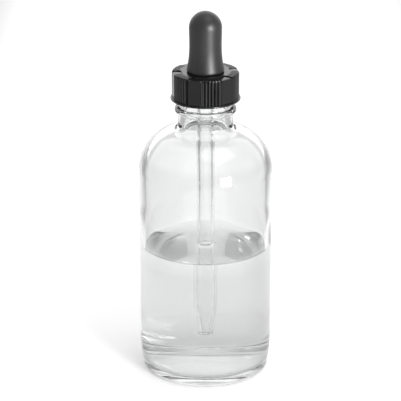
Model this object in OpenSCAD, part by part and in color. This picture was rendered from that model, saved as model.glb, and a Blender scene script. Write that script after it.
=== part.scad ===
// Medicine dropper: a round glass bottle closed by a screw cap that carries a
// glass pipette and a rubber bulb. The origin is the centre of the bottle's
// foot, and +Z runs up the axis that every piece shares.

/* [Bottle] */
// Height from the foot to the lip
bottle_h = 111.5; // [100:0.5:140]
// Diameter over the shoulder band
body_d = 49.2; // [44:0.1:64]
// How far the label panel lies inside the shoulder band
label_recess = 0.3; // [0.1:0.05:0.6]
// Height of the shoulder band
band_h = 10.6; // [6:0.1:14]
// Glass thickness of the label panel
wall = 2.2; // [1.6:0.1:2.8]
// Glass thickness at the rim of the floor
base_t = 3.1; // [2.5:0.1:5]
// Radius of the round shoulder
shoulder_r = 16.8; // [14:0.1:18]
// Radius of the hollow curve from the shoulder into the neck
neck_fillet_r = 2.5; // [1.5:0.1:3.5]
// Height of the heel, which leans in towards the foot
heel_h = 12.5; // [9:0.1:15]
// Radius of the heel's lean, seen from the side
heel_lean_r = 55; // [45:1:90]
// Radius of the edge between the heel and the foot
foot_edge_r = 1.9; // [1.2:0.1:2.5]
// Width of the ring that the bottle stands on
foot_ring_w = 1.6; // [1:0.1:3]
// Depth of the hollow under the base
push_up = 0.9; // [0.4:0.1:1.4]

/* [Neck and thread] */
// Height of the lip above the crown of the shoulder
neck_h = 18.1; // [17:0.1:22]
// Outer diameter of the threaded part, between the threads
finish_d = 19.2; // [16:0.1:23]
// Glass thickness of the threaded part
finish_wall = 1.8; // [1.4:0.1:2.2]
// How far the plain neck stands out from the threaded part
neck_step = 0.4; // [0.2:0.05:0.8]
// How far the transfer bead stands out from the neck
bead_out = 1.15; // [0.8:0.05:1.4]
// Depth of the transfer bead's middle below the lip
bead_drop = 11.2; // [10.8:0.1:12]
// Height of the glass thread above its wall
thread_h = 1; // [0.7:0.05:1.2]
// Lead of the one-start thread
thread_pitch = 3.175; // [2.9:0.005:3.6]
// Turns of thread on the glass and in the cap
thread_turns = 1.15; // [0.9:0.05:1.2]

/* [Cap] */
// Height of the cap
cap_h = 10.4; // [9.9:0.1:10.8]
// Thickness of the skirt at the ribs, down to the root of its thread
cap_wall = 1.1; // [1:0.05:1.6]
// How far the bottom rim stands out from the ribs
rim_out = 0.55; // [0.35:0.05:1]
// Height of the bottom rim
rim_h = 0.7; // [0.5:0.05:1]
// Thickness of the cap's top
cap_top_t = 1.5; // [1.2:0.1:2]
// Depth of the grip flats, measured from the ribs
flat_depth = 0.3; // [0.2:0.05:0.5]
// Grip lobes round the cap
lobes = 6; // [4:1:8]
// Ribs on each lobe
lobe_ribs = 6; // [3:1:6]
// Angle from one rib to the next
rib_pitch = 5.7; // [4:0.1:6]
// Radius of the grooves between the ribs
groove_r = 0.36; // [0.25:0.01:0.4]
// Angle of the first lobe from the front
cap_clock = 10; // [0:0.5:30]
// Room between the thread crests of the cap and the glass
crest_gap = 0.12; // [0.1:0.01:0.25]
// Height of the cap's thread above its wall
cap_thread_h = 0.28; // [0.2:0.01:0.4]

/* [Bulb and seal] */
// Outer diameter of the bulb
bulb_d = 11.8; // [11:0.1:14]
// Length of the bulb above its lip's underside
bulb_h = 22; // [18:0.5:32]
// Height of the waist above the lip's underside
waist_h = 9.4; // [7:0.1:12]
// How far the waist lies inside the bulb's diameter
waist_in = 0.2; // [0:0.05:0.5]
// Wall thickness of the bulb
bulb_wall = 1.15; // [0.8:0.05:1.6]
// How far the lip at the bulb's foot stands out
lip_out = 0.9; // [0.6:0.05:1.6]
// Height of the lip
lip_h = 1.4; // [1:0.1:2.2]
// Rubber round the pipette in the bulb's neck, where it passes the cap
bulb_neck_wall = 1.75; // [1.2:0.05:1.9]
// Room round the bulb's flange, inside the crest of the cap's thread
flange_room = 1.7; // [0.5:0.1:2.5]
// Thickness of the flange
flange_t = 0.8; // [0.6:0.05:1.2]
// Room round the sealing washer, inside the crest of the cap's thread
washer_room = 0.5; // [0.3:0.05:0.8]
// Thickness of the sealing washer
washer_t = 0.8; // [0.6:0.05:1.2]

/* [Pipette] */
// Outer diameter of the pipette
tube_d = 6.4; // [5.3:0.1:7.7]
// Glass thickness of the pipette
tube_wall = 1; // [0.7:0.05:1.3]
// Height of the tip above the floor
tip_gap = 11.3; // [3:0.1:30]
// Outer diameter at the tip
tip_d = 4; // [3:0.1:5]
// Bore at the tip
tip_bore = 1.6; // [1:0.1:2]
// Length of the taper to the tip
taper_h = 14; // [8:0.5:20]
// How far the bead that holds the pipette in the bulb stands out
tube_bead_out = 0.5; // [0.3:0.05:0.6]

/* [Liquid] */
// Depth of the liquid
fill_h = 44.5; // [32:0.5:56]

/* [Hidden] */

$fn = 96;
arc_steps = 14;       // chords along a quarter of a round outline
fit_gap = 0.05;       // between the tube and what grips it, and round a liquid
turn_gap = 0.15;      // between the turning cap and the bulb's neck
root_sink = 0.25;     // how deep a thread's root is sunk into its wall
helix_steps = 48;     // steps in one turn of a thread
fade = 30;            // degrees over which a thread runs out at each end

body_r = body_d / 2;
label_r = body_r - label_recess;
inner_r = label_r - wall;
finish_r = finish_d / 2;
mouth_r = finish_r - finish_wall;
neck_r = finish_r + neck_step;
shoulder_z = bottle_h - neck_h - shoulder_r;
shoulder_x = body_r - shoulder_r;
label_top = shoulder_z - band_h;
band_slope_h = 1.5;                       // from the panel out to the band
inner_shoulder_r = shoulder_r - body_r + inner_r;
inner_fillet_r = neck_fillet_r + neck_r - mouth_r;
floor_edge_r = 2.6;                       // inside corner of the floor
lip_edge_r = 0.6;                         // rounding of the lip
bead_z = bottle_h - bead_drop;
bead_half_h = 1.2;

thread_r = finish_r + thread_h;
crest_r = thread_r + crest_gap;           // crest of the cap's thread
cap_bore_r = crest_r + cap_thread_h;
cap_r = cap_bore_r + cap_wall;            // over the ribs
rim_r = cap_r + rim_out;
washer_r = crest_r - washer_room;
flange_r = crest_r - flange_room;
flange_z = bottle_h + washer_t;           // underside of the bulb's flange
cap_ceiling_z = flange_z + flange_t;      // inner face of the cap's top
cap_top_z = cap_ceiling_z + cap_top_t;
cap_z = cap_top_z - cap_h;
cap_chamfer = 0.5;

glass_root_w = 1.9;                       // widths of the two threads at root and crest
glass_crest_w = 0.8;
cap_root_w = 1;
cap_crest_w = 0.45;
glass_thread_z = bottle_h - 2.1 - thread_pitch * thread_turns;
cap_thread_z = cap_z + 1;
// The cap's thread lies on the same helix as the glass thread, half a pitch below it
cap_thread_a = 360 * (cap_thread_z - glass_thread_z + thread_pitch / 2) / thread_pitch;

tube_r = tube_d / 2;
bore_r = tube_r - tube_wall;
tip_z = base_t + tip_gap;
fill_z = base_t + fill_h;
grip_r = tube_r + fit_gap;                // bore that grips the pipette
bulb_neck_r = grip_r + bulb_neck_wall;
hole_r = bulb_neck_r + turn_gap;          // hole in the cap's top
grip_h = 4;                               // rubber that grips the tube above the cap
lip_z = cap_top_z + fit_gap;              // underside of the bulb's lip
bulb_r = bulb_d / 2;
bulb_top = lip_z + bulb_h;
cavity_r = bulb_r - bulb_wall;
tube_top = lip_z + grip_h + 1.2;

// Points along an arc about [x, z], from angle a to angle b
function arc(x, z, r, a, b, steps = arc_steps) =
    [for (i = [0:steps]) let (t = a + (b - a) * i / steps) [x + r * cos(t), z + r * sin(t)]];

// Height of the centre of a fillet that runs from a neck of radius n into a
// shoulder of radius r about [x, z]
function fillet_z(x, z, r, n, f) = z + sqrt(pow(r + f, 2) - pow(n + f - x, 2));

// Angle at the shoulder's centre where that fillet starts
function fillet_a(x, r, n, f) = acos((n + f - x) / (r + f));

function reversed(list) = [for (i = [len(list) - 1:-1:0]) list[i]];

// The round shoulder of radius r and the fillet of radius f into a neck of radius n
function shoulder_curve(r, n, f) =
    let (a = fillet_a(shoulder_x, r, n, f))
    concat(
        arc(shoulder_x, shoulder_z, r, 0, a),
        arc(n + f, fillet_z(shoulder_x, shoulder_z, r, n, f), f, a - 180, -180, 8));

// The inside of the bottle from the middle of the floor to the mouth
function inner_curve() = concat(
    [[0, base_t]],
    arc(inner_r - floor_edge_r, base_t + floor_edge_r, floor_edge_r, -90, 0, 8),
    shoulder_curve(inner_shoulder_r, mouth_r, inner_fillet_r));

module revolve(points) {
    rotate_extrude() polygon(points);
}

// A thread: a tapered ridge that climbs one pitch for each turn. Its crest is at
// radius crest, its root is sunk into the wall at radius root, and its ends run out.
module thread(root, crest, root_w, crest_w, z0) {
    steps = ceil(thread_turns * helix_steps);
    out = sign(crest - root);
    function turn(i) = 360 * thread_turns * i / steps;
    function rise(a) = min(1, a / fade, (360 * thread_turns - a) / fade);
    function ring(i) =
        let (a = turn(i), top = root + out * (root_sink / 2)
            + (crest - root - out * root_sink / 2) * rise(a), z = z0 + thread_pitch * a / 360)
        [for (p = [[root, -root_w / 2], [top, -crest_w / 2], [top, crest_w / 2], [root, root_w / 2]])
            [p[0] * cos(a), p[0] * sin(a), z + p[1]]];
    points = [for (i = [0:steps]) each ring(i)];
    sides = [for (i = [0:steps - 1], k = [0:3]) let (j = (k + 1) % 4)
        each [[4 * i + k, 4 * i + j, 4 * i + 4 + k], [4 * i + j, 4 * i + 4 + j, 4 * i + 4 + k]]];
    last = 4 * steps;
    ends = [[0, 2, 1], [0, 3, 2], [last, last + 1, last + 2], [last, last + 2, last + 3]];
    faces = concat(sides, ends);
    polyhedron(points, out > 0 ? faces : [for (f = faces) [f[2], f[1], f[0]]]);
}

module bottle() {
    lean = asin((heel_h - foot_edge_r) / (heel_lean_r - foot_edge_r));
    foot_r = label_r - heel_lean_r + (heel_lean_r - foot_edge_r) * cos(lean);
    foot_in = foot_r - foot_ring_w;
    push_r = (pow(foot_in, 2) + pow(push_up, 2)) / (2 * push_up);
    color([0.85, 0.9, 0.92, 0.45]) {
        revolve(concat(
            arc(0, push_up - push_r, push_r, 90, asin((push_r - push_up) / push_r), 8),
            arc(foot_r, foot_edge_r, foot_edge_r, -90, -lean, 8),
            arc(label_r - heel_lean_r, heel_h, heel_lean_r, -lean, 0, 8),
            [[label_r, label_top - band_slope_h], [body_r, label_top]],
            shoulder_curve(shoulder_r, neck_r, neck_fillet_r),
            [[neck_r, bead_z - bead_half_h]],
            [for (t = [-75:15:75]) [neck_r + bead_out * cos(t), bead_z + bead_half_h * sin(t)]],
            [[finish_r, bead_z + bead_half_h]],
            arc(finish_r - lip_edge_r, bottle_h - lip_edge_r, lip_edge_r, 0, 90, 6),
            arc(mouth_r + lip_edge_r, bottle_h - lip_edge_r, lip_edge_r, 90, 180, 6),
            reversed(inner_curve())));
        thread(finish_r - root_sink, thread_r, glass_root_w, glass_crest_w, glass_thread_z);
    }
}

module liquid() {
    wet_r = inner_r - fit_gap;
    wet_z = base_t + fit_gap;
    color([0.75, 0.8, 0.84, 0.6])
        revolve(concat(
            [[0, wet_z]],
            arc(wet_r - floor_edge_r, wet_z + floor_edge_r, floor_edge_r, -90, 0, 8),
            [[wet_r, fill_z], [grip_r, fill_z], [grip_r, tip_z - fit_gap], [0, tip_z - fit_gap]]));
}

module washer() {
    color([0.85, 0.85, 0.82])
        revolve([
            [grip_r, bottle_h], [washer_r, bottle_h], [washer_r, flange_z], [grip_r, flange_z]]);
}

module pipette() {
    taper_z = tip_z + taper_h;
    tip_edge = 0.4;
    bead_low = tube_top - 1.6;
    bead_r = tube_r + tube_bead_out;
    color([0.85, 0.9, 0.92, 0.45])
        revolve([
            [tip_bore / 2, tip_z], [tip_d / 2 - tip_edge, tip_z], [tip_d / 2, tip_z + tip_edge],
            [tube_r, taper_z], [tube_r, bead_low],
            [bead_r, bead_low + 0.6], [bead_r, tube_top - 0.4],
            [tube_r, tube_top], [bore_r, tube_top], [bore_r, taper_z]]);
}

module pipette_liquid() {
    taper_z = tip_z + taper_h;
    color([0.75, 0.8, 0.84, 0.6])
        revolve([
            [0, tip_z], [tip_bore / 2 - fit_gap, tip_z], [bore_r - fit_gap, taper_z],
            [bore_r - fit_gap, fill_z], [0, fill_z]]);
}

module cap() {
    flat_r = cap_r - flat_depth;
    ledge_z = cap_z + rim_h;
    mouth_edge = 0.3;
    lobe_step = 360 / lobes;
    first_lobe = cap_clock - 90;
    color([0.09, 0.09, 0.1]) {
        difference() {
            union() {
                intersection() {
                    revolve([
                        [hole_r, cap_z], [cap_r, cap_z], [cap_r, cap_top_z - cap_chamfer],
                        [cap_r - cap_chamfer, cap_top_z], [hole_r, cap_top_z]]);
                    rotate([0, 0, first_lobe])
                        translate([0, 0, cap_z])
                            cylinder(r = flat_r / cos(lobe_step / 2), h = cap_h, $fn = lobes);
                }
                revolve(concat(
                    [[hole_r, cap_z]],
                    arc(rim_r - rim_h / 2, cap_z + rim_h / 2, rim_h / 2, -90, 90, 8),
                    [[hole_r, ledge_z]]));
            }
            for (lobe = [0:lobes - 1], rib = [0:lobe_ribs])
                rotate([0, 0, first_lobe + lobe * lobe_step + (rib - lobe_ribs / 2) * rib_pitch])
                    translate([cap_r, 0, ledge_z])
                        cylinder(r = groove_r, h = cap_h, $fn = 24);
            revolve([
                [0, cap_z - 1], [cap_bore_r + mouth_edge + 1, cap_z - 1],
                [cap_bore_r, cap_z + mouth_edge], [cap_bore_r, cap_ceiling_z],
                [hole_r, cap_ceiling_z], [hole_r, cap_top_z + 1], [0, cap_top_z + 1]]);
        }
        rotate([0, 0, cap_thread_a])
            thread(cap_bore_r + root_sink, crest_r, cap_root_w, cap_crest_w, cap_thread_z);
    }
}

module bulb() {
    waist_r = bulb_r - waist_in;
    waist_z = lip_z + waist_h;
    dome_z = bulb_top - bulb_r;
    mouth_z = lip_z + grip_h - 1.2;
    lip_r = bulb_r + lip_out;
    lip_mid = lip_z + lip_h / 2;
    flare_power = 2.2;                    // how steeply the wall flares out to the lip
    color([0.16, 0.16, 0.17])
        revolve(concat(
            [[grip_r, flange_z], [flange_r, flange_z], [flange_r, cap_ceiling_z],
             [bulb_neck_r, cap_ceiling_z], [bulb_neck_r, lip_z]],
            arc(lip_r - lip_h / 2, lip_mid, lip_h / 2, -90, 0, 6),
            [for (i = [1:arc_steps]) let (up = i / arc_steps)
                [waist_r + (lip_r - waist_r) * pow(1 - up, flare_power),
                    lip_mid + (waist_z - lip_mid) * up]],
            arc(0, dome_z, bulb_r, 0, 90),
            arc(0, dome_z, cavity_r, 90, 0),
            [[cavity_r, mouth_z + 1.4], [grip_r, mouth_z]]));
}

bottle();
liquid();
washer();
pipette();
pipette_liquid();
cap();
bulb();
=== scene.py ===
"""The looks of the medicine dropper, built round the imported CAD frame.

Sizes are in millimetres until a mesh is made; the frame and Blender are in metres.
"""

import math

import bpy
import numpy as np
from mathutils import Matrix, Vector


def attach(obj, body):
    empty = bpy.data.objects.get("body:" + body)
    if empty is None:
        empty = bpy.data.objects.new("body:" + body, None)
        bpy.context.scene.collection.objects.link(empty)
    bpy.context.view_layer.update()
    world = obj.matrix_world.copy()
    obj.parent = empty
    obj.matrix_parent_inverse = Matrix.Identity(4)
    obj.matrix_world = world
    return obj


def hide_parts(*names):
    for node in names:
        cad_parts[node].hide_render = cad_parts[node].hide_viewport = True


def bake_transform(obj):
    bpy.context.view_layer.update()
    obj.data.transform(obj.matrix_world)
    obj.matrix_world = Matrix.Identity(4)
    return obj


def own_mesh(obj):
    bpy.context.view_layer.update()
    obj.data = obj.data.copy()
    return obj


MM = 0.001

# Bottle. Its sizes are the CAD source's, but the band slopes in over 9 and not 1.5, because
# a short slope shows through the glass as a line.
BOTTLE_H = 111.5
BODY_R = 24.6
LABEL_R = 24.3
INNER_R = 22.1
BASE_T = 3.1
BAND_H = 10.6
BAND_SLOPE_H = 9.0
SHOULDER_R = 16.8
NECK_FILLET_R = 2.5
HEEL_H = 12.5
HEEL_LEAN_R = 55.0
FOOT_EDGE_R = 1.9
FOOT_RING_W = 1.6
PUSH_UP = 0.9
NECK_H = 18.1
NECK_R = 10.0
FINISH_R = 9.6
MOUTH_R = 7.8
BEAD_OUT = 1.15
BEAD_Z = 100.3
BEAD_HALF_H = 1.2
FLOOR_EDGE_R = 2.6
LIP_EDGE_R = 0.6
SHOULDER_Z = BOTTLE_H - NECK_H - SHOULDER_R
SHOULDER_X = BODY_R - SHOULDER_R
SEAM_OUT = 0.035      # how far the mould's two seams stand out
SEAM_W = 0.22
SEAM_ANGLE = 0.25
RIPPLE = 0.05         # how uneven the inside of the blown wall is

# Threads
PITCH = 3.175
TURNS = 1.15
THREAD_H = 1.0
THREAD_ROOT_W = 1.9
THREAD_CREST_W = 0.8
GLASS_THREAD_Z = BOTTLE_H - 2.1 - PITCH * TURNS
FADE = 30 / 360       # the share of a turn over which a thread's end fades out

# Cap
CAP_Z = 104.2
CAP_TOP_Z = 114.6
CAP_CEILING_Z = 113.1
CAP_R = 12.1
CAP_BORE_R = 11.0
RIM_R = 12.65
RIM_H = 0.7
HOLE_R = 5.15
FLAT_DEPTH = 0.3
LOBES = 6
RIBS = 6
RIB_PITCH = 5.7
GROOVE_R = 0.36
CAP_CLOCK = 10.0
CAP_THREAD_Z = CAP_Z + 1
CAP_THREAD_H = 0.28
CAP_THREAD_ROOT_W = 1.0
CAP_THREAD_CREST_W = 0.45
SHELF_DROP = 0.35     # how far the top steps down over each flat
SHELF_IN_R = 8.7      # where the steps start
CROWN_END = 17        # ribs are crowned up to this many degrees from their lobe's middle
CROWN_SLOPE = 0.16    # how far the top of a lobe falls towards its edge
GROOVE_RUN = 0.6      # the share of a groove's depth that runs on over the top

# Bulb and washer. The waist draws in less than in the CAD source, where it is 5.7.
BULB_R = 5.89
WAIST_R = 5.84
LIP_R = 6.8
LIP_H = 1.4
LIP_Z = 114.65
WAIST_Z = 124.05
BULB_TOP = 136.65
FLARE_POWER = 2.2
CAVITY_R = 4.75
CAVITY_CONE_H = 1.4
BULB_MOUTH_H = 2.8    # height of the cavity's mouth over the lip
BULB_DENT = 0.03
BULB_SEAM_OUT = 0.02
BULB_SEAM_W = 0.12
BULB_NECK_R = 5.0
FLANGE_R = 9.02
FLANGE_Z = 112.3
WASHER_R = 10.22

# Pipette and liquid
TUBE_R = 3.2
BORE_R = 2.2
GRIP_R = 3.25
TIP_R = 2.0
TIP_BORE_R = 0.8
TIP_Z = 14.4
TAPER_H = 14.0
TUBE_TOP = 119.85
TUBE_BEAD_R = 0.8
TUBE_BEAD_OUT = 0.5
TUBE_ROUND_R = 0.4    # how round the fire-polished ends are
TUBE_UNEVEN = 0.012
FILL_Z = 47.6
SOAK = 0.05           # how far a liquid's mesh reaches into the glass that it wets
WELL_R = 4.6          # the liquid's surface inside this radius closes when the tube leaves
WALL_RISE = 1.3       # how far the liquid climbs the bottle's wall
WALL_REACH = 1.7
TUBE_RISE = 0.9       # how far it climbs the tube
TUBE_REACH = 0.5
COLUMN_RISE = 0.2     # how far the column in the tube stands over the liquid
COLUMN_CUP = 1.1      # how deep its top is hollowed

# Glass
WALL_TINT = (0.95, 0.954, 0.952)
TUBE_TINT = (0.985, 0.989, 0.988)
SKIN_PAINTED_SHADE = (0.665, 0.67, 0.668)   # the bottle's outer skin beside the liquid, darkened there as painted shade
SKIN_HIGH = (0.82, 0.825, 0.823)  # and above it
# heights over which the skin's painted shade fades out upwards
SKIN_LOW_Z = 43.0
SKIN_HIGH_Z = 48.2

# Studio, in metres
ROOM_DARK = 0.55         # the room's brightness at the sides and in front
ROOM_WHITE = 1.6         # behind the object
ROOM_CEILING = 0.7       # and above
BACK_SPAN = (0.5, 0.92)  # a direction's share backwards, from grey to fully white
TOP_SPAN = (0.45, 0.9)   # and upwards
FLOOR_REACH = 4.0
SHEET_Y = 0.1                # the middle of the floor's painted pool of light, behind the object
SHEET_REACH = (0.105, 0.45)  # half its width and half its length
SHEET_FADE = 1.45            # its painted light has faded out at this many times its reach
SHEET_NEAR = (0.9, 0.9, 0.9)
# the floor's grey beyond the pool is painted shade
SHEET_FAR_PAINTED_SHADE = (0.5, 0.5, 0.5)
# the pool glows, as painted light
SHEET_PAINTED_GLOW = 0.27
LIGHT_AIM_Z = 0.07

# Camera, fitted to the photograph: metres and degrees, and the lens and sensor in mm
CAMERA_DISTANCE = 0.8
CAMERA_ELEVATION = 21.09
CAMERA_AIM_Z = 0.06473
CAMERA_LENS = 196.0
CAMERA_SENSOR = 36.0
CAMERA_SHIFT_X = -0.0125


def arc(x, z, r, a, b, steps):
    """Points along an arc about (x, z), from angle a to angle b in degrees."""
    turn = np.radians(np.linspace(a, b, steps + 1))
    return [(x + r * math.cos(t), z + r * math.sin(t)) for t in turn]


def line(p, q, step):
    """Points from p to q, no further apart than step, without p itself."""
    n = max(1, math.ceil(math.dist(p, q) / step))
    return [(p[0] + (q[0] - p[0]) * i / n, p[1] + (q[1] - p[1]) * i / n) for i in range(1, n + 1)]


def even_angles(n):
    """n angles round a full turn."""
    return np.linspace(0, 2 * math.pi, n, endpoint=False)


def lathe(name, profile, angles, shape=None, closed=False, sharp=32):
    """A mesh turned from (radius, height) points. A point on the axis becomes one vertex.

    shape(r, z, a, k) may move the surface: radius, height, angle and place in the profile.
    A closed profile runs back to its first point. Edges past sharp degrees stay sharp.
    """
    points = np.array(profile, float)
    n, m = len(points), len(angles)
    r = np.repeat(points[:, :1], m, axis=1)
    z = np.repeat(points[:, 1:], m, axis=1)
    a = np.repeat(np.asarray(angles)[None, :], n, axis=0)
    if shape:
        r, z = shape(r, z, a, np.arange(n)[:, None])
    co = []
    rows = []
    for i in range(n):
        start = len(co)
        if points[i, 0] < 1e-9:
            co.append((0, 0, points[i, 1] * MM))
            rows.append([start] * m)
        else:
            x = r[i] * np.cos(a[i]) * MM
            y = r[i] * np.sin(a[i]) * MM
            co.extend(zip(x, y, z[i] * MM, strict=True))
            rows.append(list(range(start, start + m)))
    faces = []
    for i in range(n if closed else n - 1):
        low, high = rows[i], rows[(i + 1) % n]
        for j in range(m):
            k = (j + 1) % m
            ring = [low[j], low[k], high[k], high[j]]
            face = [v for q, v in enumerate(ring) if v != ring[q - 1]]
            if len(face) > 2:
                faces.append(face)
    mesh = bpy.data.meshes.new(name)
    mesh.from_pydata(co, [], faces)
    mesh.validate()
    mesh.polygons.foreach_set("use_smooth", [True] * len(mesh.polygons))
    mesh.set_sharp_from_angle(angle=math.radians(sharp))
    mesh.update()
    piece = bpy.data.objects.new(name, mesh)
    bpy.context.scene.collection.objects.link(piece)
    return piece


def smooth(t):
    """An eased step from 0 to 1."""
    t = np.clip(t, 0, 1)
    return t * t * (3 - 2 * t)


def taper(top_r, tip_r, low):
    """Points down the pipette's drawn-out taper, from radius top_r to tip_r at height low."""
    top = TIP_Z + TAPER_H
    return [(tip_r + (top_r - tip_r) * float(smooth(t)), low + (top - low) * float(t))
            for t in np.linspace(1, 0, 15)]


def thread_height(z, a, z0, a0, root_w, crest_w):
    """How much of a thread's full height stands at height z and angle a."""
    total = np.zeros_like(z)
    share = np.mod((a - a0) / (2 * math.pi), 1)
    for k in (0, 1):
        turn = share + k
        off = np.abs(z - z0 - PITCH * turn)
        ridge = smooth((root_w / 2 - off) / (root_w / 2 - crest_w / 2))
        ends = smooth(np.minimum(turn, TURNS - turn) / FADE)
        total = np.maximum(total, ridge * ends)
    return total


# Bottle ---------------------------------------------------------------------------

def shoulder_curve(r, n, f):
    """The round shoulder of radius r and the fillet of radius f into a neck of radius n."""
    across = n + f - SHOULDER_X
    a = math.degrees(math.acos(across / (r + f)))
    z = SHOULDER_Z + math.sqrt((r + f) ** 2 - across ** 2)
    return (arc(SHOULDER_X, SHOULDER_Z, r, 0, a, 30)
            + arc(n + f, z, f, a - 180, -180, 10)[1:])


def bottle_outside():
    """From the middle of the push-up under the base, up the outside to the lip."""
    lean = math.asin((HEEL_H - FOOT_EDGE_R) / (HEEL_LEAN_R - FOOT_EDGE_R))
    foot_r = LABEL_R - HEEL_LEAN_R + (HEEL_LEAN_R - FOOT_EDGE_R) * math.cos(lean)
    foot_in = foot_r - FOOT_RING_W
    push_r = (foot_in ** 2 + PUSH_UP ** 2) / (2 * PUSH_UP)
    push_a = math.degrees(math.asin((push_r - PUSH_UP) / push_r))
    lean = math.degrees(lean)
    label_top = SHOULDER_Z - BAND_H
    points = [(0, PUSH_UP)] + arc(0, PUSH_UP - push_r, push_r, 90, push_a, 16)[1:-1]
    points += [(foot_in - 0.3, 0.03), (foot_in + 0.25, 0)]
    points += arc(foot_r, FOOT_EDGE_R, FOOT_EDGE_R, -90, -lean, 10)
    points += arc(LABEL_R - HEEL_LEAN_R, HEEL_H, HEEL_LEAN_R, -lean, 0, 10)[1:]
    points += line(points[-1], (LABEL_R, label_top - BAND_SLOPE_H), 2)
    steps = np.linspace(0, 1, 9)[1:]
    points += [(LABEL_R + (BODY_R - LABEL_R) * float(smooth(t)),
                label_top - BAND_SLOPE_H * (1 - t)) for t in steps]
    points += line(points[-1], (BODY_R, SHOULDER_Z), 2)
    points += shoulder_curve(SHOULDER_R, NECK_R, NECK_FILLET_R)[1:]
    points += line(points[-1], (NECK_R, BEAD_Z - BEAD_HALF_H - 0.15), 1)
    points += [(NECK_R + BEAD_OUT * math.cos(t), BEAD_Z + BEAD_HALF_H * math.sin(t))
               for t in np.radians(np.arange(-75, 76, 12.5))]
    points += [(FINISH_R + 0.12, BEAD_Z + BEAD_HALF_H + 0.05)]
    points += line(points[-1], (FINISH_R, BEAD_Z + BEAD_HALF_H + 0.3), 1)
    points += line(points[-1], (FINISH_R, BOTTLE_H - LIP_EDGE_R), 0.16)
    return points + arc(FINISH_R - LIP_EDGE_R, BOTTLE_H - LIP_EDGE_R, LIP_EDGE_R, 0, 90, 6)[1:]


def bottle_inside():
    """From the lip down the inside of the wall to the middle of the floor."""
    inner_shoulder_r = SHOULDER_R - BODY_R + INNER_R
    inner_fillet_r = NECK_FILLET_R + NECK_R - MOUTH_R
    points = arc(MOUTH_R + LIP_EDGE_R, BOTTLE_H - LIP_EDGE_R, LIP_EDGE_R, 90, 180, 6)
    shoulder = shoulder_curve(inner_shoulder_r, MOUTH_R, inner_fillet_r)[::-1]
    points += line(points[-1], shoulder[0], 1.5)[:-1] + shoulder
    corner = arc(INNER_R - FLOOR_EDGE_R, BASE_T + FLOOR_EDGE_R, FLOOR_EDGE_R, 0, -90, 10)
    points += line(points[-1], corner[0], 2)[:-1] + corner
    return points + line(corner[-1], (0, BASE_T), 2)


def wall_ripple(z, a):
    """The slight unevenness of a blown wall, in mm; none at the floor's corner or the neck."""
    fade_in = smooth((z - 7) / 8) * smooth((92 - z) / 10)
    wave = (np.sin(2 * a + 0.05 * z + 0.7) + 0.6 * np.sin(5 * a - 0.08 * z + 2.1)
            + 0.35 * np.sin(9 * a + 0.13 * z + 4.0))
    return RIPPLE * wave * fade_in


def make_bottle():
    """The blown glass bottle, with its thread and the two seams of its mould."""
    outside = bottle_outside()
    inside = bottle_inside()
    last_out = len(outside)
    finish_z = BEAD_Z + BEAD_HALF_H

    def shape(r, z, a, k):
        out = k < last_out
        ridge = THREAD_H * thread_height(z, a, GLASS_THREAD_Z, 0, THREAD_ROOT_W, THREAD_CREST_W)
        r = np.where(out & (z > finish_z + 0.2) & (r > FINISH_R - 0.01), r + ridge, r)
        seam = np.exp(-((np.sin(a - SEAM_ANGLE) * r) / SEAM_W) ** 2)
        plain = out & (z > 2.5) & (z < BEAD_Z - BEAD_HALF_H) & (r > NECK_R)
        r = np.where(plain, r - SEAM_OUT + SEAM_OUT * seam, r)
        return np.where(out, r, r + wall_ripple(z, a)), z

    piece = lathe("glass_bottle", outside + inside, even_angles(224), shape, sharp=50)
    piece.data.materials.append(bottle_glass())
    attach(piece, "bottle")
    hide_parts("bottle")


# Liquid ---------------------------------------------------------------------------

def surface_height(r):
    """The liquid's surface: level, and drawn up at the bottle's wall."""
    return FILL_Z + WALL_RISE * np.exp(-(INNER_R - r) / WALL_REACH)


def make_liquid():
    """The liquid in the bottle, open round the pipette, where the well's surface fills it."""
    wet_r = INNER_R + SOAK
    wet_z = BASE_T - SOAK
    corner = arc(wet_r - FLOOR_EDGE_R, wet_z + FLOOR_EDGE_R, FLOOR_EDGE_R, -90, 0, 10)
    top = float(surface_height(wet_r))
    points = [(0, wet_z)] + line((0, wet_z), corner[0], 2)[:-1] + corner
    points += line(points[-1], (wet_r, top), 2)
    last_wall = len(points)
    reach = np.concatenate([INNER_R - np.linspace(0.0, 1, 12) ** 2 * 8, [11, 8, WELL_R]])
    points += [(float(r), float(surface_height(r)) if r > WELL_R else FILL_Z) for r in reach]

    def shape(r, z, a, k):
        wall = k < last_wall
        near = np.exp(-(INNER_R - np.minimum(r, INNER_R)) / 3)
        return np.where(wall & (r < 10), r, r + wall_ripple(z, a) * near), z

    piece = lathe("liquid_body", points, even_angles(192), shape, sharp=60)
    piece.data.materials.append(water("bottle_liquid", 0.96))
    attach(piece, "bottle")
    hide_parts("liquid")


def make_liquid_well():
    """The liquid's surface round the pipette. It closes as the dropper lifts out."""
    wet_r = TUBE_R - SOAK
    start_r = WELL_R - 0.1
    points = [(WELL_R, FILL_Z)]
    for t in np.linspace(0, 1, 12):
        r = start_r - (start_r - wet_r) * float(t)
        rise = TUBE_RISE * math.exp(-(r - wet_r) / TUBE_REACH)
        points.append((r, FILL_Z + rise * float(smooth(6 * t))))
    points += line(points[-1], (wet_r, TIP_Z + TAPER_H + 1), 3)
    points += taper(wet_r, TIP_R - SOAK, TIP_Z + TUBE_ROUND_R)
    points += [(TIP_R - TUBE_ROUND_R, TIP_Z + SOAK), (TIP_BORE_R, TIP_Z + SOAK), (0, TIP_Z + SOAK)]
    piece = lathe("liquid_well", points, even_angles(96), sharp=60)
    piece.data.materials.append(water("well_liquid", 1.0))
    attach(piece, "bottle")
    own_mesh(piece)


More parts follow.
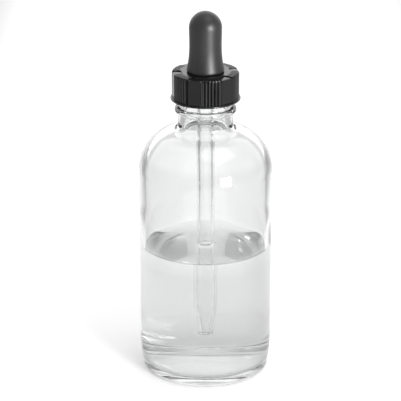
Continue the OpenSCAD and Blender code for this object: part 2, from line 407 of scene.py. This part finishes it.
def make_pipette_liquid():
    """The column that stands in the pipette, with its hollow top."""
    wet_r = BORE_R + SOAK
    points = [(0, TIP_Z)] + taper(wet_r, TIP_BORE_R + SOAK, TIP_Z)[::-1]
    low = FILL_Z + COLUMN_RISE
    points += line(points[-1], (wet_r, low + COLUMN_CUP), 3)
    points += [(float(r), low + COLUMN_CUP * (float(r) / wet_r) ** 4)
               for r in np.linspace(wet_r - 0.05, 0, 9)]
    piece = lathe("pipette_column", points, even_angles(96), sharp=50)
    piece.data.materials.append(water("pipette_liquid", 1.0))
    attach(piece, "pipette")
    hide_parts("pipette_liquid")


# Pipette --------------------------------------------------------------------------

def make_pipette():
    """A drawn tube: the tip is fire-polished, and a bead holds the top in the rubber."""
    taper_z = TIP_Z + TAPER_H
    bead_low = TUBE_TOP - 2 * TUBE_BEAD_R
    points = arc(TIP_R - TUBE_ROUND_R, TIP_Z + TUBE_ROUND_R, TUBE_ROUND_R, -90, 0, 5)
    points += taper(TUBE_R, TIP_R, TIP_Z + TUBE_ROUND_R)[::-1][1:]
    points += line(points[-1], (TUBE_R, bead_low), 4)
    points += arc(TUBE_R, bead_low + TUBE_BEAD_R, TUBE_BEAD_R, -90, 90, 8)
    points += arc(BORE_R + TUBE_ROUND_R, TUBE_TOP - TUBE_ROUND_R, TUBE_ROUND_R, 90, 180, 5)
    points += line(points[-1], (BORE_R, taper_z), 4)
    points += taper(BORE_R, TIP_BORE_R, TIP_Z)[1:]

    def shape(r, z, a, k):
        top = z > bead_low
        r = np.where(top, np.minimum(r, TUBE_R + TUBE_BEAD_OUT), r)
        return r + TUBE_UNEVEN * np.sin(2 * a + 0.09 * z), z

    piece = lathe("glass_pipette", points, even_angles(96), shape, closed=True, sharp=50)
    piece.data.materials.append(pipette_glass())
    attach(piece, "pipette")
    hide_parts("pipette")


# Cap ------------------------------------------------------------------------------

def cap_angles():
    """Angles round the cap: close together at the grooves and at the shelves' ends."""
    groove = math.degrees(GROOVE_R / CAP_R)
    marks = []
    for lobe in range(LOBES):
        middle = CAP_CLOCK - 90 + lobe * 360 / LOBES
        for rib in range(RIBS + 1):
            at = middle + (rib - RIBS / 2) * RIB_PITCH
            marks += [at + groove * s
                      for s in (-1.03, -1, -0.9, -0.7, -0.4, 0, 0.4, 0.7, 0.9, 1, 1.03)]
            if rib < RIBS:
                marks += [at + RIB_PITCH * s for s in (0.36, 0.43, 0.5, 0.57, 0.64)]
        edge = RIBS * RIB_PITCH / 2 + groove * 1.03
        marks += list(middle + np.linspace(edge, 360 / LOBES - edge, 10)[1:-1])
    return np.radians(np.sort(np.mod(marks, 360)))


def lobe_offset(a):
    """Degrees from the middle of the nearest lobe."""
    step = 360 / LOBES
    return np.mod(np.degrees(a) - CAP_CLOCK + 90 + step / 2, step) - step / 2


def groove_depth(a):
    """Depth of the grip grooves at angle a, in mm."""
    off = lobe_offset(a)
    rib = np.clip(np.round(off / RIB_PITCH), -RIBS / 2, RIBS / 2)
    across = np.abs(off - rib * RIB_PITCH) * math.pi / 180 * CAP_R / GROOVE_R
    return GROOVE_R * np.sqrt(np.clip(1 - across ** 2, 0, 1))


def rib_crown(a):
    """How far the side of a rib falls away from its middle, in mm."""
    place = np.mod(lobe_offset(a) / RIB_PITCH, 1) - 0.5
    return 0.5 * place ** 2


def grip_radius(a):
    """Radius of the cap's side at angle a: ribs on the lobes, plain flats between."""
    off = lobe_offset(a)
    in_lobe = np.abs(off) < RIBS * RIB_PITCH / 2 + math.degrees(GROOVE_R / CAP_R)
    from_flat = np.radians(360 / LOBES / 2 - np.abs(off))
    flat = np.minimum((CAP_R - FLAT_DEPTH) / np.cos(from_flat), CAP_R)
    return np.where(in_lobe, CAP_R - groove_depth(a) - rib_crown(a) * (np.abs(off) < CROWN_END), flat)


def cap_profile():
    """From the foot of the rim up the outside, over the top and down the bore."""
    ledge_z = CAP_Z + RIM_H
    half = RIM_H / 2
    points = [(CAP_BORE_R + 0.3, CAP_Z)]
    points += [(RIM_R - half - 0.4, CAP_Z)] + arc(RIM_R - half, CAP_Z + half, half, -90, 90, 8)
    points += [(CAP_R + 0.06, ledge_z + 0.01), (CAP_R, ledge_z + 0.07)]
    points += line(points[-1], (CAP_R, CAP_TOP_Z - 0.45), 1)
    points += arc(CAP_R - 0.45, CAP_TOP_Z - 0.45, 0.45, 0, 90, 6)[1:]
    points += line(points[-1], (SHELF_IN_R + 0.05, CAP_TOP_Z), 0.5)
    points += [(SHELF_IN_R, CAP_TOP_Z), (SHELF_IN_R - 0.1, CAP_TOP_Z), (HOLE_R + 0.25, CAP_TOP_Z)]
    points += arc(HOLE_R + 0.2, CAP_TOP_Z - 0.2, 0.2, 90, 180, 4)
    points += [(HOLE_R, CAP_CEILING_Z), (CAP_BORE_R - 0.3, CAP_CEILING_Z)]
    points += arc(CAP_BORE_R - 0.3, CAP_CEILING_Z - 0.3, 0.3, 90, 0, 3)[1:]
    return points + line(points[-1], (CAP_BORE_R, CAP_Z + 0.3), 0.15)


def make_cap():
    """The moulded cap: ribbed lobes, stepped flats, a rim and its inner thread."""
    points = cap_profile()
    ledge_z = CAP_Z + RIM_H + 0.05
    first_in = points.index((HOLE_R, CAP_CEILING_Z))
    start = 2 * math.pi * (CAP_THREAD_Z - GLASS_THREAD_Z + PITCH / 2) / PITCH

    def shape(r, z, a, k):
        out = (k < first_in) & (z > ledge_z)
        grip = grip_radius(a)
        grown = SHELF_IN_R + (r - SHELF_IN_R) * (grip - SHELF_IN_R) / (CAP_R - SHELF_IN_R)
        made = np.where(out & (r > SHELF_IN_R), grown, r)
        off = np.abs(lobe_offset(a))
        in_shelf = off > RIBS * RIB_PITCH / 2 + math.degrees(GROOVE_R / CAP_R) * 1.01
        low = CAP_TOP_Z - SHELF_DROP - 0.1 * smooth((r - 11) / 1.1)
        z = np.where(out & in_shelf & (r > SHELF_IN_R + 0.01), np.minimum(z, low), z)
        run = smooth((r - SHELF_IN_R - 0.2) / 1.5)
        notch = GROOVE_RUN * groove_depth(a) * run
        z = np.where(out & ~in_shelf & (z > CAP_TOP_Z - 0.5), z - notch, z)
        slope = CROWN_SLOPE * smooth((r - SHELF_IN_R) / (CAP_R - SHELF_IN_R))
        z = np.where(out & ~in_shelf & (z > CAP_TOP_Z - 0.5), z - slope, z)
        ridge = CAP_THREAD_H * thread_height(z, a, CAP_THREAD_Z, start,
                                             CAP_THREAD_ROOT_W, CAP_THREAD_CREST_W)
        made = np.where((k > first_in) & (r > CAP_BORE_R - 0.01), made - ridge, made)
        return made, z

    piece = lathe("cap_shell", points, cap_angles(), shape, closed=True, sharp=38)
    piece.data.materials.append(cap_plastic())
    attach(piece, "cap")
    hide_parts("cap")


# Bulb and washer ------------------------------------------------------------------

def bulb_profile():
    """From the flange under the cap, through its hole and up the outside to the top."""
    dome_z = BULB_TOP - BULB_R
    mid = LIP_Z + LIP_H / 2
    points = [(GRIP_R, FLANGE_Z), (FLANGE_R - 0.15, FLANGE_Z), (FLANGE_R, FLANGE_Z + 0.15),
              (FLANGE_R, CAP_CEILING_Z - 0.15), (FLANGE_R - 0.15, CAP_CEILING_Z),
              (BULB_NECK_R, CAP_CEILING_Z), (BULB_NECK_R, LIP_Z)]
    points += [(LIP_R - LIP_H / 2, LIP_Z)] + arc(LIP_R - LIP_H / 2, mid, LIP_H / 2, -90, -10, 8)
    for t in np.linspace(0, 1, 25)[1:]:
        flare = (LIP_R - WAIST_R) * (1 - t) ** FLARE_POWER
        points.append((WAIST_R + flare, mid + (WAIST_Z - mid) * float(t)))
    points += [(WAIST_R + (BULB_R - WAIST_R) * float(smooth(t)), WAIST_Z + (dome_z - WAIST_Z) * t)
               for t in np.linspace(0, 1, 8)[1:-1]]
    points += arc(0, dome_z, BULB_R, 0, 88, 18) + [(0, BULB_TOP)]
    return points


def make_bulb():
    """The rubber bulb, hollow down to the pipette."""
    dome_z = BULB_TOP - BULB_R
    mouth_z = LIP_Z + BULB_MOUTH_H
    outside = bulb_profile()
    inside = [(0, dome_z + CAVITY_R)] + arc(0, dome_z, CAVITY_R, 88, 0, 12)
    inside += line(inside[-1], (CAVITY_R, mouth_z + CAVITY_CONE_H), 2) + [(GRIP_R, mouth_z)]
    inside += line((GRIP_R, mouth_z), (GRIP_R, FLANGE_Z), 2)[:-1]
    last_out = len(outside)

    def shape(r, z, a, k):
        seam = np.exp(-((np.sin(a + 0.5) * r) / BULB_SEAM_W) ** 2) * smooth((z - LIP_Z - 2) / 3)
        dent = BULB_DENT * np.sin(a * 2 + z * 0.3) * smooth((z - WAIST_Z) / 4)
        out = (k < last_out) & (z > LIP_Z + 1)
        return np.where(out, r + BULB_SEAM_OUT * seam + dent - BULB_DENT, r), z

    piece = lathe("rubber_bulb", outside + inside, even_angles(128), shape, closed=True, sharp=40)
    piece.data.materials.append(rubber())
    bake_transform(piece)
    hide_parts("bulb")


def make_washer():
    """The soft ring, with one fine groove where the flange presses."""
    low, high = BOTTLE_H, FLANGE_Z
    edge = 0.2
    points = [(GRIP_R + edge, low), (WASHER_R - edge, low)]
    points += arc(WASHER_R - edge, low + edge, edge, -90, 0, 4)[1:]
    points += arc(WASHER_R - edge, high - edge, edge, 0, 90, 4)
    points += [(8.4, high), (8.2, high - 0.05), (8.0, high)]
    points += arc(GRIP_R + edge, high - edge, edge, 90, 180, 4)
    points += arc(GRIP_R + edge, low + edge, edge, 180, 270, 4)[:-1]
    piece = lathe("seal_washer", points, even_angles(96), closed=True, sharp=50)
    piece.data.materials.append(washer_plastic())
    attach(piece, "washer")
    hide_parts("washer")


# Materials ------------------------------------------------------------------------

def material(name, **values):
    """A material with one Principled shader, whose plain values are set on its sockets."""
    made = bpy.data.materials.new(name)
    made.use_nodes = True
    shader = made.node_tree.nodes["Principled BSDF"]
    for key, value in values.items():
        shader.inputs[key.replace("_", " ")].default_value = value
    return made, shader


def noise(made, scale, detail, stretch=(1, 1, 1)):
    """Noise in the object's own space, scale per metre."""
    nodes, links = made.node_tree.nodes, made.node_tree.links
    where = nodes.new("ShaderNodeTexCoord")
    mapping = nodes.new("ShaderNodeMapping")
    mapping.inputs["Scale"].default_value = stretch
    texture = nodes.new("ShaderNodeTexNoise")
    texture.inputs["Scale"].default_value = scale
    texture.inputs["Detail"].default_value = detail
    links.new(where.outputs["Object"], mapping.inputs["Vector"])
    links.new(mapping.outputs["Vector"], texture.inputs["Vector"])
    return texture.outputs["Fac"]


def spread(made, value, low, high, start=0.3, end=0.7):
    """The value, stretched from start..end to low..high."""
    ramp = made.node_tree.nodes.new("ShaderNodeMapRange")
    ramp.inputs["From Min"].default_value = start
    ramp.inputs["From Max"].default_value = end
    ramp.inputs["To Min"].default_value = low
    ramp.inputs["To Max"].default_value = high
    made.node_tree.links.new(value, ramp.inputs["Value"])
    return ramp.outputs["Result"]


def tint(made, value, dark, light):
    """A colour between dark and light."""
    mix = made.node_tree.nodes.new("ShaderNodeMix")
    mix.data_type = "RGBA"
    mix.inputs["A"].default_value = (*dark, 1)
    mix.inputs["B"].default_value = (*light, 1)
    made.node_tree.links.new(value, mix.inputs["Factor"])
    return mix.outputs["Result"]


def bump(made, shader, heights):
    """Relief from a list of (height, distance in metres), one on top of the other."""
    nodes, links = made.node_tree.nodes, made.node_tree.links
    last = None
    for height, distance in heights:
        relief = nodes.new("ShaderNodeBump")
        relief.inputs["Strength"].default_value = 1
        relief.inputs["Distance"].default_value = distance
        links.new(height, relief.inputs["Height"])
        if last is not None:
            links.new(last, relief.inputs["Normal"])
        last = relief.outputs["Normal"]
    links.new(last, shader.inputs["Normal"])


def glass(name, ior, clear):
    """Clear glass with faint smears and waves. It gives the material and its shader."""
    made, shader = material(name, Transmission_Weight=1.0, IOR=ior)
    links = made.node_tree.links
    smear = noise(made, scale=90, detail=3, stretch=(1, 1, 0.4))
    links.new(spread(made, smear, low=0.0, high=0.02, start=0.5, end=0.75),
              shader.inputs["Roughness"])
    pale = tuple(c * 0.985 for c in clear)
    links.new(tint(made, smear, pale, clear), shader.inputs["Base Color"])
    bump(made, shader, [(noise(made, scale=60, detail=1, stretch=(1, 1, 0.35)), 0.06 * MM)])
    return made, shader


def bottle_glass():
    """Glass whose colour is mostly in its outer skin, with painted shade darkening that skin beside
    the liquid.
    """
    made, shader = glass("bottle_glass", 1.52, WALL_TINT)
    nodes, links = made.node_tree.nodes, made.node_tree.links
    inside = shader.inputs["Base Color"].links[0].from_socket
    where = nodes.new("ShaderNodeTexCoord")
    flat = nodes.new("ShaderNodeMapping")
    flat.inputs["Scale"].default_value = (1, 1, 0)
    reach = nodes.new("ShaderNodeVectorMath")
    reach.operation = "LENGTH"
    parts = nodes.new("ShaderNodeSeparateXYZ")
    links.new(where.outputs["Object"], flat.inputs["Vector"])
    links.new(flat.outputs["Vector"], reach.inputs[0])
    links.new(where.outputs["Object"], parts.inputs["Vector"])
    # painted shade: the outer skin turns darker below the liquid's level
    height = spread(made, parts.outputs["Z"], low=0, high=1,
                    start=SKIN_LOW_Z * MM, end=SKIN_HIGH_Z * MM)
    skin = tint(made, height, SKIN_PAINTED_SHADE, SKIN_HIGH)
    outer = nodes.new("ShaderNodeMix")
    outer.data_type = "RGBA"
    depth = spread(made, reach.outputs["Value"], low=0, high=1,
                   start=(INNER_R + 0.4) * MM, end=(LABEL_R - 0.6) * MM)
    links.new(depth, outer.inputs["Factor"])
    links.new(inside, outer.inputs["A"])
    links.new(skin, outer.inputs["B"])
    links.new(outer.outputs["Result"], shader.inputs["Base Color"])
    return made


def pipette_glass():
    """The tube's clearer glass."""
    made, _ = glass("pipette_glass", 1.47, TUBE_TINT)
    return made


def water(name, shade):
    """Clear liquid. What passes its surface twice keeps about this share of its brightness."""
    made, shader = material(name, Transmission_Weight=1.0, IOR=1.333, Roughness=0.0)
    links = made.node_tree.links
    haze = noise(made, scale=40, detail=2)
    low = (shade - 0.015, shade - 0.012, shade - 0.01)
    links.new(tint(made, haze, low, (shade, shade, shade)), shader.inputs["Base Color"])
    return made


def cap_plastic():
    """Glossy black phenolic, with the flow of the moulding in its surface."""
    made, shader = material("black_phenolic", IOR=1.56, Specular_IOR_Level=0.42)
    links = made.node_tree.links
    cloud = noise(made, scale=220, detail=4)
    links.new(tint(made, cloud, dark=(0.003, 0.003, 0.0035), light=(0.008, 0.008, 0.009)),
              shader.inputs["Base Color"])
    links.new(spread(made, cloud, low=0.08, high=0.15), shader.inputs["Roughness"])
    fine = noise(made, scale=2600, detail=2)
    flow = noise(made, scale=300, detail=2, stretch=(1, 1, 0.3))
    bump(made, shader, [(fine, 0.003 * MM), (flow, 0.03 * MM)])
    return made


def rubber():
    """Satin black rubber with a fine grain and a faint bloom."""
    made, shader = material("satin_rubber", IOR=1.5, Specular_IOR_Level=0.55,
                            Sheen_Weight=0.12, Sheen_Roughness=0.5)
    links = made.node_tree.links
    bloom = noise(made, scale=130, detail=5)
    links.new(tint(made, bloom, dark=(0.006, 0.006, 0.0065), light=(0.012, 0.012, 0.0125)),
              shader.inputs["Base Color"])
    links.new(spread(made, bloom, low=0.37, high=0.45), shader.inputs["Roughness"])
    grain = noise(made, scale=3800, detail=3)
    soft = noise(made, scale=500, detail=2)
    bump(made, shader, [(grain, 0.012 * MM), (soft, 0.02 * MM)])
    return made


def washer_plastic():
    """Dull off-white polyethylene."""
    made, shader = material("seal_polyethylene", IOR=1.51, Subsurface_Weight=0.15,
                            Subsurface_Scale=0.0008)
    links = made.node_tree.links
    cloud = noise(made, scale=300, detail=3)
    links.new(tint(made, cloud, dark=(0.7, 0.7, 0.67), light=(0.8, 0.8, 0.77)),
              shader.inputs["Base Color"])
    links.new(spread(made, cloud, low=0.42, high=0.58), shader.inputs["Roughness"])
    bump(made, shader, [(noise(made, scale=2000, detail=2), 0.008 * MM)])
    return made


# Studio ---------------------------------------------------------------------------

def make_floor():
    """One large pale floor with a painted pool of light round the object: white and glowing there,
    and greyer beyond as painted shade.
    """
    far = FLOOR_REACH
    mesh = bpy.data.meshes.new("floor")
    corners = [(-far, -far, 0), (far, -far, 0), (far, far, 0), (-far, far, 0)]
    mesh.from_pydata(corners, [], [(0, 1, 2, 3)])
    floor = bpy.data.objects.new("floor", mesh)
    bpy.context.scene.collection.objects.link(floor)
    made, shader = material("floor_painted_light", Roughness=0.9, Specular_IOR_Level=0.1)
    nodes, links = made.node_tree.nodes, made.node_tree.links
    where = nodes.new("ShaderNodeTexCoord")
    mapping = nodes.new("ShaderNodeMapping")
    mapping.vector_type = "TEXTURE"
    mapping.inputs["Location"].default_value = (0, SHEET_Y, 0)
    mapping.inputs["Scale"].default_value = (*SHEET_REACH, 1)
    sizes = nodes.new("ShaderNodeVectorMath")
    sizes.operation = "ABSOLUTE"
    parts = nodes.new("ShaderNodeSeparateXYZ")
    away = nodes.new("ShaderNodeMath")
    away.operation = "MAXIMUM"
    links.new(where.outputs["Object"], mapping.inputs["Vector"])
    links.new(mapping.outputs["Vector"], sizes.inputs[0])
    links.new(sizes.outputs["Vector"], parts.inputs["Vector"])
    links.new(parts.outputs["X"], away.inputs[0])
    links.new(parts.outputs["Y"], away.inputs[1])
    near = spread(made, away.outputs["Value"], low=1, high=0, start=1, end=SHEET_FADE)
    # painted light and shade: white and glowing in the pool, grey beyond it
    links.new(tint(made, near, SHEET_FAR_PAINTED_SHADE, SHEET_NEAR), shader.inputs["Base Color"])
    links.new(tint(made, near, (0, 0, 0), (1, 1, 1)), shader.inputs["Emission Color"])
    shader.inputs["Emission Strength"].default_value = SHEET_PAINTED_GLOW
    mesh.materials.append(made)


def make_world():
    """A room: white behind the object, paler above, greyer to the sides and in front."""
    scene = bpy.context.scene
    world = bpy.data.worlds.new("studio")
    scene.world = world
    world.use_nodes = True
    nodes, links = world.node_tree.nodes, world.node_tree.links
    back = nodes["Background"]
    where = nodes.new("ShaderNodeTexCoord")
    parts = nodes.new("ShaderNodeSeparateXYZ")
    links.new(where.outputs["Generated"], parts.inputs["Vector"])
    behind = spread(world, parts.outputs["Y"], ROOM_DARK, ROOM_WHITE, *BACK_SPAN)
    above = spread(world, parts.outputs["Z"], ROOM_DARK, ROOM_CEILING, *TOP_SPAN)
    both = nodes.new("ShaderNodeMath")
    both.operation = "MAXIMUM"
    links.new(behind, both.inputs[0])
    links.new(above, both.inputs[1])
    links.new(both.outputs["Value"], back.inputs["Strength"])
    back.inputs["Color"].default_value = (1, 1, 1, 1)


def area_light(name, azimuth, elevation, distance, size, power):
    """A soft light aimed at the object. Azimuth 0 is in front, and 90 to the right."""
    aim = Vector((0, 0, LIGHT_AIM_Z))
    a, e = math.radians(azimuth), math.radians(elevation)
    way = Vector((math.sin(a) * math.cos(e), -math.cos(a) * math.cos(e), math.sin(e)))
    place = aim + way * distance
    data = bpy.data.lights.new(name, "AREA")
    data.shape = "RECTANGLE"
    data.size, data.size_y = size
    data.energy = power
    lamp = bpy.data.objects.new(name, data)
    bpy.context.scene.collection.objects.link(lamp)
    lamp.location = place
    lamp.rotation_mode = "QUATERNION"
    lamp.rotation_quaternion = (-way).to_track_quat("-Z", "Y")


def make_lights():
    """A key low at the front right, and a weak wide light from above."""
    area_light("key", azimuth=36, elevation=6, distance=0.95, size=(0.28, 0.36), power=13.0)
    area_light("top", azimuth=60, elevation=72, distance=1.1, size=(0.8, 0.8), power=2.4)


def make_camera():
    """The photograph's view: from the front, looking down."""
    elevation = math.radians(CAMERA_ELEVATION)
    aim = Vector((0, 0, CAMERA_AIM_Z))
    back = Vector((0, -math.cos(elevation), math.sin(elevation)))
    data = bpy.data.cameras.new("camera")
    data.lens = CAMERA_LENS
    data.sensor_width = CAMERA_SENSOR
    data.shift_x = CAMERA_SHIFT_X
    camera = bpy.data.objects.new("camera", data)
    bpy.context.scene.collection.objects.link(camera)
    camera.location = aim + back * CAMERA_DISTANCE
    camera.rotation_mode = "QUATERNION"
    camera.rotation_quaternion = (-back).to_track_quat("-Z", "Y")
    bpy.context.scene.camera = camera


def set_look():
    """Plain colours, and enough bounces for light to pass through glass and liquid."""
    scene = bpy.context.scene
    scene.view_settings.view_transform = "Standard"
    scene.cycles.max_bounces = 40
    scene.cycles.transmission_bounces = 36
    scene.cycles.transparent_max_bounces = 24
    scene.cycles.glossy_bounces = 12


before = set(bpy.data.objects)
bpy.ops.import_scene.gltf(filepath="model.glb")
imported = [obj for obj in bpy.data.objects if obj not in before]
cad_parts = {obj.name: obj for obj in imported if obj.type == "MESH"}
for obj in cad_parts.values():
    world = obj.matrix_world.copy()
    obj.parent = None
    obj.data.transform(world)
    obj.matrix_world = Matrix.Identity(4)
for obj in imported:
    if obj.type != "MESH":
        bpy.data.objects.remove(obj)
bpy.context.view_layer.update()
make_bottle()
make_liquid()
make_liquid_well()
make_pipette_liquid()
make_pipette()
make_cap()
make_bulb()
make_washer()
make_floor()
make_world()
make_lights()
make_camera()
set_look()
